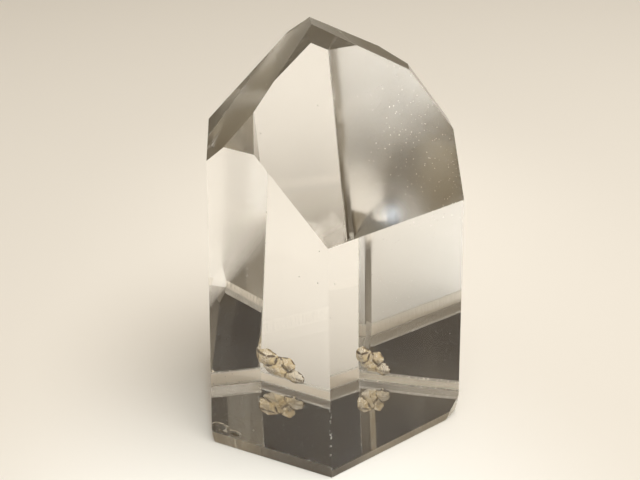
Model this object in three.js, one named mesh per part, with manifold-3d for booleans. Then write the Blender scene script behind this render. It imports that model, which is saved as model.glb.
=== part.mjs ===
// A quartz point: one clear rock crystal, cut and polished to the habit of the mineral.
// Six prism faces stand around it, each with a sloping face above that leans to the tip.
// The crystal grew unevenly and was polished by hand, so no two faces are alike.
//
// Millimetres, +Z up. The crystal stands on its sawn base at z = 0, with the origin in the
// middle of its footprint. -Y is the front, where two broad prism faces meet in one edge.

import * as THREE from 'three';
import { mergeVertices } from 'three/addons/utils/BufferGeometryUtils.js';
import Module from 'manifold-3d';

const HEIGHT_LIMIT = 60; // taller and wider than the crystal: the block it is cut from

// Prism faces. Azimuth is the way the face looks, in degrees from +X towards +Y; slope is
// the tilt of its outward direction from straight up (90 is a vertical wall); reach is how
// far out from the middle the face meets the base plane.
const PRISM_FACES = {
  frontLeft: { azimuth: -113.5, slope: 89.5, reach: 11.0 },
  frontRight: { azimuth: -55.3, slope: 88.8, reach: 9.65 },
  left: { azimuth: -175.2, slope: 87.4, reach: 12.8 },
  right: { azimuth: 7.2, slope: 87.1, reach: 12.8 },
  backLeft: { azimuth: 115.9, slope: 85.7, reach: 13.4 },
  backRight: { azimuth: 61.4, slope: 87.8, reach: 9.65 },
};
// Narrow seventh face, polished along the rear left upright edge.
const CORNER_FACE = { azimuth: 125.1, slope: 85.7, reach: 14.2 };

// Faces of the tip. Peak is the height at which the face would cross the middle axis.
// The front right one has outgrown the rest and takes most of the front.
const TIP_FACES = {
  frontRight: { azimuth: -55.4, slope: 52.5, peak: 37.55 },
  frontLeft: { azimuth: -110.3, slope: 50.2, peak: 45.7 },
  left: { azimuth: -178.6, slope: 44.9, peak: 42.6 },
  right: { azimuth: 3.5, slope: 51.7, peak: 45.07 },
  backRight: { azimuth: 50.9, slope: 51.3, peak: 48.5 },
  backLeft: { azimuth: 140.4, slope: 60.8, peak: 51.6 },
  back: { azimuth: 84.4, slope: 47.6, peak: 45.1 }, // wedge between the two, up by the ridge
  summit: { azimuth: 4.7, slope: 28.0, peak: 39.8 }, // small chisel face at the very top
  shoulder: { azimuth: 10.1, slope: 27.8, peak: 39.9 }, // sliver along the back right of it
};

// Narrow bevel around the foot. Height is where it leaves the prism face above it.
const FOOT_SLOPE = 98;
const FOOT_BEVELS = {
  frontLeft: { height: 1.5 },
  frontRight: { height: 1.05 },
  left: { height: 1.5 },
  right: { height: 0.95 },
  backLeft: { height: 1.55 },
  backRight: { height: 1.1 },
};
// Flat knocked off the lower end of the upright edge at the far right.
const RIGHT_CORNER_NICK = { azimuth: -35, slope: 102, through: [12.6, -3.0, 1.9] };

// Break low down at the back, where the rough stone shows. It starts at the rear upright
// edge and runs on along the back right face, just above the foot bevel, as scoops that
// overlap. Each scoop is the bite of an egg shape; radii are along the face, into the stone
// and upright, turn is the way it lies and roll shifts its flat facets.
const BREAK_SCOOPS = [
  { centre: [-0.85, 13.75, 2.5], radii: [3.2, 2.6, 3.0], turn: -28.6, roll: 11 },
  { centre: [-2.25, 13.65, 3.3], radii: [2.2, 2.0, 1.7], turn: -28.6, roll: 47 },
  { centre: [-0.3, 12.4, 3.1], radii: [1.7, 1.6, 1.6], turn: -50, roll: 35 },
  { centre: [0.6, 12.15, 1.75], radii: [2.2, 1.8, 1.5], turn: -28.6, roll: 29 },
];
// Flake off the front left face, low down by its left edge.
const FLAKE_SCOOPS = [
  { centre: [-11.3, -7.4, 2.45], radii: [1.5, 0.5, 0.8], turn: -23.5, roll: 20 },
  { centre: [-9.9, -8.0, 2.2], radii: [1.1, 0.5, 0.45], turn: -23.5, roll: 5 },
];

const degrees = THREE.MathUtils.degToRad;

const wasm = await Module();
wasm.setup();

// Closed solid from a three.js geometry.
function solidOf(geometry) {
  const bare = geometry.index ? geometry.toNonIndexed() : geometry.clone();
  bare.deleteAttribute('normal');
  bare.deleteAttribute('uv');
  const merged = mergeVertices(bare, 1e-5);
  return new wasm.Manifold(new wasm.Mesh({
    numProp: 3,
    vertProperties: new Float32Array(merged.attributes.position.array),
    triVerts: new Uint32Array(merged.index.array),
  }));
}

// three.js geometry from a closed solid, with flat faces.
function geometryOf(solid) {
  const mesh = solid.getMesh();
  const indexed = new THREE.BufferGeometry();
  indexed.setAttribute('position', new THREE.BufferAttribute(mesh.vertProperties, 3));
  indexed.setIndex(new THREE.BufferAttribute(mesh.triVerts, 1));
  const flat = indexed.toNonIndexed();
  flat.computeVertexNormals();
  return flat;
}

// Unit vector that a face looks along.
function outward(azimuth, slope) {
  const flatLength = Math.sin(degrees(slope));
  return new THREE.Vector3(
    flatLength * Math.cos(degrees(azimuth)),
    flatLength * Math.sin(degrees(azimuth)),
    Math.cos(degrees(slope)),
  );
}

// Cuts away everything in front of the plane that looks along `direction` through `point`.
function grind(solid, direction, point) {
  const size = 4 * HEIGHT_LIMIT;
  const waste = new THREE.BoxGeometry(size, size, size);
  waste.translate(0, 0, size / 2);
  const turn = new THREE.Quaternion().setFromUnitVectors(new THREE.Vector3(0, 0, 1), direction);
  waste.applyQuaternion(turn);
  waste.translate(point.x, point.y, point.z);
  return solid.subtract(solidOf(waste));
}

// The block, with its underside already at z = 0.
const block = new THREE.BoxGeometry(HEIGHT_LIMIT, HEIGHT_LIMIT, HEIGHT_LIMIT);
block.translate(0, 0, HEIGHT_LIMIT / 2);
let crystal = solidOf(block);

for (const { azimuth, slope, reach } of [...Object.values(PRISM_FACES), CORNER_FACE]) {
  const foot = outward(azimuth, 90).multiplyScalar(reach);
  crystal = grind(crystal, outward(azimuth, slope), foot);
}

for (const { azimuth, slope, peak } of Object.values(TIP_FACES)) {
  crystal = grind(crystal, outward(azimuth, slope), new THREE.Vector3(0, 0, peak));
}

for (const [side, { height }] of Object.entries(FOOT_BEVELS)) {
  const { azimuth, slope, reach } = PRISM_FACES[side];
  const inset = height / Math.tan(degrees(slope));
  const start = outward(azimuth, 90).multiplyScalar(reach - inset).setZ(height);
  crystal = grind(crystal, outward(azimuth, FOOT_SLOPE), start);
}

crystal = grind(
  crystal,
  outward(RIGHT_CORNER_NICK.azimuth, RIGHT_CORNER_NICK.slope),
  new THREE.Vector3(...RIGHT_CORNER_NICK.through),
);

// Broken places: egg shapes with flat facets bite shallow scoops out of the stone.
for (const { centre, radii, turn, roll } of [...BREAK_SCOOPS, ...FLAKE_SCOOPS]) {
  const bite = new THREE.IcosahedronGeometry(1, 1);
  bite.rotateX(degrees(roll));
  bite.scale(...radii);
  bite.rotateZ(degrees(turn));
  bite.translate(...centre);
  crystal = crystal.subtract(solidOf(bite));
}

const geometry = geometryOf(crystal);
geometry.computeBoundingBox();
const middle = geometry.boundingBox.getCenter(new THREE.Vector3());
geometry.translate(-middle.x, -middle.y, 0);

const clearQuartz = new THREE.MeshStandardMaterial({
  color: 0xe9e4d8,
  roughness: 0.03,
  metalness: 0,
});

const quartzPoint = new THREE.Mesh(geometry, clearQuartz);
quartzPoint.name = 'quartz_point';

const group = new THREE.Group();
group.add(quartzPoint);

export default group;
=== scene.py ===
"""A polished quartz point on pale paper, under a broad soft lamp in a dim room."""

from math import radians

import bmesh
import bpy
from mathutils import Matrix, Vector


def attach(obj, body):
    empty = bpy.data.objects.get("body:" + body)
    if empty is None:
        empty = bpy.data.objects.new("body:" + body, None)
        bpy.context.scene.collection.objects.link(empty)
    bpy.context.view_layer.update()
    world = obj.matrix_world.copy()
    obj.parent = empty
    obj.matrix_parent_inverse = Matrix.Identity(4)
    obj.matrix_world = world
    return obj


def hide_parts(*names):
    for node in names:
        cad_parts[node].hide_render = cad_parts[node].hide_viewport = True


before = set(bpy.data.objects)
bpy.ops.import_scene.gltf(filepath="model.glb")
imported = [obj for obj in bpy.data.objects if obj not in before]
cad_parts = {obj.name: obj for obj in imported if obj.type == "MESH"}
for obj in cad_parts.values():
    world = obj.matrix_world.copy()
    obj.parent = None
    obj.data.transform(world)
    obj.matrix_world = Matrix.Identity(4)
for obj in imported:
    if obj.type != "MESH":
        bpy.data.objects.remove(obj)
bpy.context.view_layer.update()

MM = 0.001
SQUARE_MM = MM * MM

# The stone
SAME_POINT = 0.002 * MM  # corners closer than this are one
FACET_ANGLE = radians(0.6)  # faces closer than this in direction are one flat facet
SHARP_ANGLE = radians(5)  # edges sharper than this have been worn by the polishing
EDGE_WEAR = 0.08 * MM  # how far it has rounded them
WHOLE_FACE = 2.0 * SQUARE_MM  # polished faces larger than this are made truly flat
SAWN_FACE = 20.0 * SQUARE_MM  # the base is the only face looking down that is larger
CREASE_ANGLE = radians(24)  # between scoops of the break: the sharper creases hold rust
CREASE_WIDTH = 0.15 * MM
RIM_FACE = 0.12 * SQUARE_MM  # facets of the break smaller than this have no rusty rim
QUARTZ_IOR = 1.544
BEVEL_TOP = 1.9 * MM  # no foot bevel reaches higher than this
SHIFT = Vector((0.166, -0.542, 0.0))  # from the axis the faces are measured from, to the origin
SCOOPS = [  # bites of the break: centre, radii and turn, in mm and degrees
    ((-0.85, 13.75, 2.5), (3.2, 2.6, 3.0), -28.6),
    ((-2.25, 13.65, 3.3), (2.2, 2.0, 1.7), -28.6),
    ((-0.3, 12.4, 3.1), (1.7, 1.6, 1.6), -50),
    ((0.6, 12.15, 1.75), (2.2, 1.8, 1.5), -28.6),
]
FLAKE = [  # bites of the small flake at the front left
    ((-11.3, -7.4, 2.45), (1.5, 0.5, 0.8), -23.5),
    ((-9.9, -8.0, 2.2), (1.1, 0.5, 0.45), -23.5),
]
LOW_POLISH = 0.02  # the rear faces are a little less well polished low down,
HIGH_POLISH = 0.11  # and less again towards the tip
NICKED_EDGES = [  # the front edge and the top of the bevel left of it, in mm
    ((-0.08, -12.41, 1.5), (-0.40, -12.06, 24.0)),
    ((-12.05, -7.21, 1.5), (-0.08, -12.41, 1.5)),
]
REAR_EDGE = [  # the upright edge at the back, slightly chipped
    ((-3.60, 12.48, 0.6), (-2.70, 10.96, 24.0)),
]
FROSTED_GLINT_EDGES = [  # the edges of the foot bevel at the back and on the left: frosted, their white also a painted glint
    ((-3.58, 12.46, 1.1), (12.47, 3.70, 1.1)),
    ((-3.74, 12.46, 0.0), (12.55, 3.58, 0.0)),
    ((-3.56, 12.41, 1.55), (-11.10, 8.75, 1.55)),
    ((-12.05, -7.21, 1.5), (-13.26, 7.24, 1.5)),
    ((-11.83, -7.32, 0.0), (-13.08, 7.51, 0.0)),
    ((-3.48, 12.21, 0.0), (-12.87, 7.65, 0.0)),
]

# The view
CAMERA_AT = (Vector((-1.25, -78.84, 65.396)) + SHIFT) * MM
CAMERA_PITCH = radians(60.0)
CAMERA_ROLL = radians(-0.22)
CAMERA_LENS = 52.7

# The room: tone by height, from -1 straight down to 1 straight up
WALL_TONES = [
    (-0.10, (0.13, 0.105, 0.07)),
    (0.0, (0.30, 0.26, 0.19)),
    (0.08, (0.88, 0.82, 0.70)),
    (0.25, (0.60, 0.52, 0.38)),
    (0.42, (0.19, 0.145, 0.085)),
    (0.56, (0.020, 0.012, 0.006)),
    (0.66, (0.020, 0.012, 0.006)),
    (0.75, (0.16, 0.13, 0.09)),
    (1.0, (0.46, 0.39, 0.29)),
]
BULB_WAY = (0.821867, -0.203967, 0.531914)  # seen by reflection low on the large tip face


class Signal:
    """A number in a material; arithmetic on it adds the Math nodes."""

    def __init__(self, recipe, socket):
        self.recipe = recipe
        self.socket = socket

    def _math(self, operation, *terms, clamp=False):
        inputs = dict(enumerate(terms))
        node = self.recipe.node("ShaderNodeMath", {"operation": operation, "use_clamp": clamp}, inputs)
        return Signal(self.recipe, node.outputs[0])

    def __add__(self, other):
        return self._math("ADD", self, other)

    __radd__ = __add__

    def __sub__(self, other):
        return self._math("SUBTRACT", self, other)

    def __rsub__(self, other):
        return self._math("SUBTRACT", other, self)

    def __mul__(self, other):
        return self._math("MULTIPLY", self, other)

    __rmul__ = __mul__

    def __truediv__(self, other):
        return self._math("DIVIDE", self, other)

    def __pow__(self, other):
        return self._math("POWER", self, other)

    def above(self, edge):
        return self._math("GREATER_THAN", self, edge)

    def clamped(self):
        return self._math("ADD", self, 0.0, clamp=True)

    def most(self, other):
        return self._math("MAXIMUM", self, other)


class Recipe:
    """The node tree of one material or of the world."""

    def __init__(self, owner):
        owner.use_nodes = True
        self.tree = owner.node_tree
        self.tree.nodes.clear()

    def node(self, kind, settings=None, inputs=None):
        made = self.tree.nodes.new(kind)
        for name, value in (settings or {}).items():
            if name == "stops":
                self._stops(made.color_ramp, value)
            else:
                setattr(made, name, value)
        for key, value in (inputs or {}).items():
            self._feed(made.inputs[key], value)
        return made

    def _feed(self, socket, value):
        if isinstance(value, Signal):
            value = value.socket
        if isinstance(value, bpy.types.NodeSocket):
            self.tree.links.new(value, socket)
        else:
            socket.default_value = value

    @staticmethod
    def _stops(ramp, stops):
        while len(ramp.elements) < len(stops):
            ramp.elements.new(0.5)
        for element, (position, colour) in zip(ramp.elements, stops):
            element.position = position
            element.color = (*colour, 1.0)

    def signal(self, kind, settings=None, inputs=None, output=0):
        return Signal(self, self.node(kind, settings, inputs).outputs[output])

    def vector(self, operation, first, second):
        """The vector that an operation on two vectors gives."""
        node = self.node("ShaderNodeVectorMath", {"operation": operation}, {0: first, 1: second})
        return node.outputs[0]

    def place(self):
        return self.node("ShaderNodeTexCoord").outputs["Object"]

    def mark(self, name):
        return self.signal("ShaderNodeAttribute", {"attribute_name": name}, output="Fac")

    def step(self, value, low, high):
        return self.signal(
            "ShaderNodeMapRange",
            {"interpolation_type": "SMOOTHSTEP"},
            {"Value": value, "From Min": low, "From Max": high},
        )

    def noise(self, place, scale, detail=4.0, roughness=0.6):
        return self.signal(
            "ShaderNodeTexNoise",
            None,
            {"Vector": place, "Scale": scale, "Detail": detail, "Roughness": roughness},
        )

    def specks(self, place, scale, size, share):
        """Scattered round specks: one in some of the cells, `size` across in parts of a cell."""
        cells = self.node("ShaderNodeTexVoronoi", None, {"Vector": place, "Scale": scale})
        away = Signal(self, cells.outputs["Distance"])
        chance = self.signal("ShaderNodeSeparateColor", None, {"Color": cells.outputs["Color"]})
        return (1.0 - self.step(away, size * 0.5, size)) * (1.0 - chance.above(share))

    def beside(self, place, edges, width):
        """One within `width` (mm) of any of the straight edges, fading to nought."""
        mask = 0.0
        for start, end in edges:
            along = (Vector(end) - Vector(start)).normalized()
            away = self.vector("SUBTRACT", place, Vector(start) * MM)
            side = self.vector("CROSS_PRODUCT", away, along)
            gap = self.signal(
                "ShaderNodeVectorMath", {"operation": "LENGTH"}, {0: side}, output="Value"
            )
            mask = (1.0 - self.step(gap, 0.5 * width * MM, width * MM)).most(mask)
        return mask


def ease(bm, edges, width, segments):
    """Rounds the edges a little, as polishing by hand does."""
    bmesh.ops.bevel(
        bm,
        geom=edges,
        affect="EDGES",
        offset=width,
        segments=segments,
        profile=0.5,
        material=-1,
        clamp_overlap=True,
    )


def bitten(face, scoops):
    """Whether the face is part of the wall that one of the scoops left."""
    for centre, radii, turn in scoops:
        unit = Matrix.Diagonal(Vector(radii) * MM).inverted() @ Matrix.Rotation(radians(-turn), 3, "Z")
        spots = [unit @ (v.co - (Vector(centre) + SHIFT) * MM) for v in face.verts]
        if all(0.9 < spot.length < 1.02 for spot in spots):
            return (unit @ (face.calc_center_median() - (Vector(centre) + SHIFT) * MM)).length > 0.86
    return False


def flatten(face):
    """Puts every corner of a polished face exactly on one plane, so that it mirrors truly."""
    face.normal_update()
    up = face.normal.copy()
    level = sum(v.co.dot(up) for v in face.verts) / len(face.verts)
    for v in face.verts:
        v.co -= up * (v.co.dot(up) - level)


def crystal_mesh(node):
    """The crystal with whole facets and softly worn edges; its unlike surfaces are marked."""
    bm = bmesh.new()
    bm.from_mesh(node.data)
    bmesh.ops.remove_doubles(bm, verts=bm.verts, dist=SAME_POINT)
    bmesh.ops.dissolve_limit(
        bm, angle_limit=FACET_ANGLE, verts=bm.verts, edges=bm.edges, use_dissolve_boundaries=False
    )
    ground = bm.faces.layers.float.new("ground")
    broken = bm.faces.layers.float.new("broken")
    sawn = bm.faces.layers.float.new("sawn")
    rear = bm.faces.layers.float.new("rear")
    flaked = bm.faces.layers.float.new("flaked")
    stained = bm.faces.layers.float.new("stained")
    for face in bm.faces:
        face[broken] = 1.0 if bitten(face, SCOOPS) else 0.0
        face[flaked] = 1.0 if bitten(face, FLAKE) else 0.0
        chipped = face[broken] or face[flaked]
        low = max(v.co.z for v in face.verts) < BEVEL_TOP
        face[ground] = 1.0 if low and not chipped and face.normal.z > -0.6 else 0.0
        face[sawn] = 1.0 if face.normal.z < -0.9 and face.calc_area() > SAWN_FACE else 0.0
        face[rear] = 1.0 if face.normal.y > 0.3 else 0.0
    creases = {
        edge
        for edge in bm.edges
        if len(edge.link_faces) == 2
        and any(face[broken] for face in edge.link_faces)
        and (edge.calc_face_angle() > CREASE_ANGLE or not all(face[broken] for face in edge.link_faces))
    }
    roomy = [face for face in bm.faces if face[broken] and face.calc_area() > RIM_FACE]
    rims = bmesh.ops.inset_individual(bm, faces=roomy, thickness=CREASE_WIDTH, use_even_offset=True)
    for face in rims["faces"]:
        if any(edge in creases for edge in face.edges):
            face[stained] = 1.0
    sharp = [
        edge
        for edge in bm.edges
        if len(edge.link_faces) == 2
        and edge.calc_face_angle() > SHARP_ANGLE
        and not any(face[broken] for face in edge.link_faces)
    ]
    ease(bm, sharp, EDGE_WEAR, 2)
    for face in bm.faces:
        face.smooth = False
        if face.calc_area() > WHOLE_FACE:
            flatten(face)
    mesh = bpy.data.meshes.new("quartz_point_polished")
    bm.to_mesh(mesh)
    bm.free()
    return mesh


def clear_quartz():
    """Clear quartz: polished facets, a ground foot bevel, a dusty base and a rusty break."""
    material = bpy.data.materials.new("clear_quartz")
    recipe = Recipe(material)
    place = recipe.place()
    ground = recipe.mark("ground")
    broken = recipe.mark("broken")
    stained = recipe.mark("stained")
    sawn = recipe.mark("sawn")
    rear = recipe.mark("rear")
    spot = recipe.node("ShaderNodeSeparateXYZ", None, {"Vector": place})
    x = Signal(recipe, spot.outputs["X"]) * 1000.0  # in mm
    z = Signal(recipe, spot.outputs["Z"]) * 1000.0

    # Quartz itself. The bevel was left as the grinding wheel made it, and the break is raw.
    grain = recipe.noise(place, 900.0, 6.0)
    whole_rear = rear * (1.0 - ground) * (1.0 - broken)
    polish = LOW_POLISH + recipe.step(z, 12.0, 20.0) * (HIGH_POLISH - LOW_POLISH)
    roughness = (ground * 0.30 + broken * 0.05 + whole_rear * polish).clamped()
    upright = recipe.vector("MULTIPLY", place, (1.0, 1.0, 0.08))
    wheel = recipe.noise(upright, 2600.0, 2.0)  # upright lines from the grinding wheel
    bump = recipe.node(
        "ShaderNodeBump",
        None,
        {"Height": grain * broken * 1.6 + wheel * ground * (1.0 - rear) * 0.25, "Distance": 0.3 * MM},
    )
    gold = recipe.step(recipe.noise(place, 420.0, 5.0), 0.35, 0.65)
    tint = recipe.node(
        "ShaderNodeMix",
        {"data_type": "RGBA"},
        {"Factor": broken * (0.4 + 0.6 * gold), "A": (1.0, 1.0, 1.0, 1.0), "B": (0.92, 0.72, 0.38, 1.0)},
    )
    dingy = recipe.node(
        "ShaderNodeMix",
        {"data_type": "RGBA"},
        {"Factor": ground, "A": tint.outputs[2], "B": (0.93, 0.83, 0.69, 1.0)},
    )
    glass = recipe.node(
        "ShaderNodeBsdfPrincipled",
        {"distribution": "MULTI_GGX"},
        {
            "Base Color": dingy.outputs[2],
            "Roughness": roughness,
            "IOR": QUARTZ_IOR,
            "Transmission Weight": 1.0,
            "Normal": bump.outputs[0],
        },
    )

    # A thin golden crust on the break, and brown rust in its creases.
    crust = recipe.node("ShaderNodeBsdfTranslucent", None, {"Color": (0.97, 0.74, 0.34, 1.0)})
    crusted = recipe.node(
        "ShaderNodeMixShader",
        None,
        {0: broken * (0.08 + 0.35 * gold), 1: glass.outputs[0], 2: crust.outputs[0]},
    )
    blotches = recipe.step(recipe.noise(place, 700.0, 5.0, 0.7), 0.57, 0.66)
    rust = recipe.node(
        "ShaderNodeBsdfPrincipled",
        None,
        {"Base Color": (0.15, 0.08, 0.025, 1.0), "Roughness": 0.8},
    )
    rusty = recipe.node(
        "ShaderNodeMixShader",
        None,
        {
            0: (stained * 0.9 + broken * blotches * 0.35).clamped(),
            1: crusted.outputs[0],
            2: rust.outputs[0],
        },
    )

    # White: pits on the base, dust on the large tip face and low on the left, worn edges, and frosted
    # bevel edges whose white is also a painted glint.
    pits = recipe.specks(place, 3600.0, 0.24, 0.35) * sawn * 0.18
    right = recipe.step(x, 0.0, 6.0)
    high = recipe.step(z, 20.0, 24.0)
    left = 1.0 - recipe.step(x, -9.0, -6.0)
    low = 1.0 - recipe.step(z, 8.0, 13.0)
    dust = recipe.specks(place, 2400.0, 0.14, 0.8) * (right * high + left * low) * 0.35
    stray = recipe.specks(place, 620.0, 0.05, 0.3) * 0.7
    notches = recipe.step(recipe.noise(place, 1900.0, 2.0), 0.54, 0.60)
    chips = recipe.step(recipe.noise(place, 2600.0, 1.0), 0.58, 0.62)
    nicks = recipe.beside(place, NICKED_EDGES, 0.17) * (1.0 - recipe.step(z, 6.0, 10.0)) * chips
    # Frosted foot-bevel edges: real frost, and their white is also a painted glint.
    frost_and_glint = recipe.beside(place, FROSTED_GLINT_EDGES, 0.22) * (0.55 + 0.45 * notches)
    seam = recipe.beside(place, REAR_EDGE, 0.10) * (0.2 + 0.3 * notches)
    white = recipe.node(
        "ShaderNodeBsdfPrincipled",
        None,
        {"Base Color": (0.88, 0.86, 0.82, 1.0), "Roughness": 0.9},
    )
    through = recipe.node("ShaderNodeBsdfTranslucent", None, {"Color": (0.96, 0.95, 0.93, 1.0)})
    chalk_and_glints = recipe.node(
        "ShaderNodeMixShader", None, {0: 0.75, 1: white.outputs[0], 2: through.outputs[0]}
    )
    dust_and_glints = recipe.node(
        "ShaderNodeMixShader",
        None,
        {
            0: (pits + stray + dust + nicks * 0.9 + frost_and_glint * 0.9 + seam * 0.8).clamped(),
            1: rusty.outputs[0],
            2: chalk_and_glints.outputs[0],
        },
    )
    absorb = recipe.node(
        "ShaderNodeVolumeAbsorption", None, {"Color": (0.93, 0.88, 0.78, 1.0), "Density": 2.5}
    )
    recipe.node(
        "ShaderNodeOutputMaterial", None, {"Surface": dust_and_glints.outputs[0], "Volume": absorb.outputs[0]}
    )
    return material


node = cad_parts["quartz_point"]
crystal = bpy.data.objects.new("quartz_point_polished", crystal_mesh(node))
bpy.context.scene.collection.objects.link(crystal)
crystal.data.materials.append(clear_quartz())
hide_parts("quartz_point")
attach(crystal, "root")


def paper():
    material = bpy.data.materials.new("pale_paper")
    recipe = Recipe(material)
    sheet = recipe.node(
        "ShaderNodeBsdfPrincipled",
        None,
        {"Base Color": (0.84, 0.805, 0.745, 1.0), "Roughness": 0.9, "Specular IOR Level": 0.1},
    )
    recipe.node("ShaderNodeOutputMaterial", None, {"Surface": sheet.outputs[0]})
    return material


def floor():
    bm = bmesh.new()
    bmesh.ops.create_circle(bm, cap_ends=True, segments=96, radius=0.26)
    bmesh.ops.translate(bm, verts=bm.verts, vec=(0, 0, -0.05 * MM))
    mesh = bpy.data.meshes.new("floor")
    bm.to_mesh(mesh)
    bm.free()
    sheet = bpy.data.objects.new("floor", mesh)
    bpy.context.scene.collection.objects.link(sheet)
    sheet.data.materials.append(paper())


def hang(name, light, at, aim, colour, watts):
    """Hangs a lamp that lights the paper and the stone but isn't seen in the stone."""
    light.energy = watts
    light.color = colour
    holder = bpy.data.objects.new(name, light)
    bpy.context.scene.collection.objects.link(holder)
    holder.location = at
    holder.rotation_euler = (Vector(aim) - Vector(at)).to_track_quat("-Z", "Y").to_euler()
    holder.visible_transmission = False
    holder.visible_glossy = False
    return holder


def lamps():
    broad = bpy.data.lights.new("overhead", "AREA")
    broad.shape = "DISK"
    broad.size = 0.34
    hang("overhead", broad, (0.09, -0.08, 0.42), (0, 0, 0.01), (1.0, 0.978, 0.94), 1.78)
    pool = bpy.data.lights.new("pool", "SPOT")
    pool.spot_size = radians(11.5)
    pool.spot_blend = 1.0
    pool.shadow_soft_size = 0.02
    hang("pool", pool, (0.03, -0.18, 0.24), (-0.003, -0.034, 0.0), (0.76, 0.89, 1.0), 3.3)
    rear = bpy.data.lights.new("rear", "SPOT")
    rear.spot_size = radians(14)
    rear.spot_blend = 1.0
    rear.shadow_soft_size = 0.02
    hang("rear", rear, (0.0, 0.20, 0.25), (0.004, 0.040, 0.0), (1.0, 0.98, 0.93), 0.6)


def room():
    """Dim brown room, bright only low down near the paper, with one soft bulb off to the right."""
    world = bpy.data.worlds.new("room")
    bpy.context.scene.world = world
    recipe = Recipe(world)
    way = recipe.node("ShaderNodeTexCoord").outputs["Generated"]
    height = recipe.signal("ShaderNodeSeparateXYZ", None, {"Vector": way}, output="Z")
    stops = [((level + 1.0) / 2.0, tone) for level, tone in WALL_TONES]
    walls = recipe.node("ShaderNodeValToRGB", {"stops": stops}, {"Fac": height * 0.5 + 0.5})
    towards = recipe.signal(
        "ShaderNodeVectorMath", {"operation": "DOT_PRODUCT"}, {0: way, 1: BULB_WAY}, output="Value"
    )
    near = towards.clamped()
    glow = near**21000.0 * 10.0 + near**1800.0 * 1.6  # the bulb itself, and the haze around it
    bulb = recipe.node("ShaderNodeBackground", None, {"Color": (0.85, 0.93, 1.0, 1.0), "Strength": glow})
    dim = recipe.node("ShaderNodeBackground", None, {"Color": walls.outputs[0], "Strength": 1.0})
    both = recipe.node("ShaderNodeAddShader", None, {0: dim.outputs[0], 1: bulb.outputs[0]})
    seen = recipe.node("ShaderNodeBackground", None, {"Color": (0.78, 0.74, 0.66, 1.0), "Strength": 1.0})
    direct = recipe.node("ShaderNodeLightPath").outputs["Is Camera Ray"]
    mix = recipe.node("ShaderNodeMixShader", None, {0: direct, 1: both.outputs[0], 2: seen.outputs[0]})
    recipe.node("ShaderNodeOutputWorld", None, {"Surface": mix.outputs[0]})


def camera():
    data = bpy.data.cameras.new("camera")
    data.sensor_fit = "HORIZONTAL"
    data.sensor_width = 36.0
    data.lens = CAMERA_LENS
    data.clip_start = 0.001
    holder = bpy.data.objects.new("camera", data)
    bpy.context.scene.collection.objects.link(holder)
    turn = Matrix.Rotation(CAMERA_PITCH, 4, "X") @ Matrix.Rotation(CAMERA_ROLL, 4, "Z")
    holder.matrix_world = Matrix.Translation(CAMERA_AT) @ turn
    bpy.context.scene.camera = holder


floor()
room()
lamps()
camera()

scene = bpy.context.scene
scene.view_settings.view_transform = "Standard"
scene.cycles.max_bounces = 40
scene.cycles.transmission_bounces = 40
scene.cycles.glossy_bounces = 24
scene.cycles.use_denoising = True
